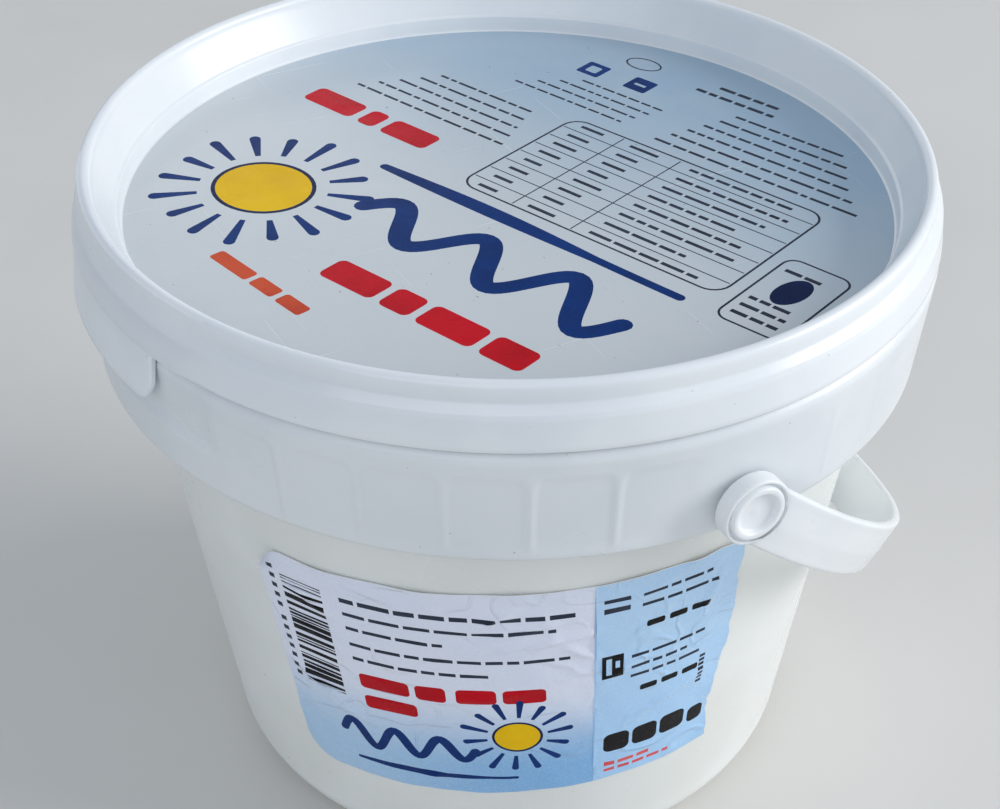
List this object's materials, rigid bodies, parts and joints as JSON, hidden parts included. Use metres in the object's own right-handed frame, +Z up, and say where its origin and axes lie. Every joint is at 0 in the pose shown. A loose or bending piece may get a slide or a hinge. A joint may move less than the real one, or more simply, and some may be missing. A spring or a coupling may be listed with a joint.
{
  "type": "yogurt pot",
  "caption": "Shut round tapered plastic dairy pot with a recessed push-on lid, lift tab, paper label and a swinging bail handle.",
  "frame": {"origin": "centre of the flat base, on the surface the pot stands on", "axes": "+Z up along the pot's axis; X along the hinge of the bail handle; the bail hangs towards +Y and the lid's lift tab is at -Y"},
  "size_m": [0.1444, 0.1394, 0.114],
  "materials": {
    "pot_plastic": "satin cream-white polypropylene, slightly translucent",
    "lid_plastic": "glossy cool white polypropylene with a printed panel",
    "label_paper": "semi-gloss printed paper sticker, wrinkled, with a torn edge",
    "handle_plastic": "satin white polypropylene"
  },
  "bodies": {
    "pot": {"pot_body": "pot_plastic", "lid": "lid_plastic", "label": "label_paper"},
    "bail": {"handle": "handle_plastic"}
  },
  "joints": [
    {"name": "bail_swing", "type": "hinge", "parent": "pot", "child": "bail", "pos_m": [0, 0, 0.0893], "axis": [1, 0, 0], "range_deg": [0, 255]}
  ]
}
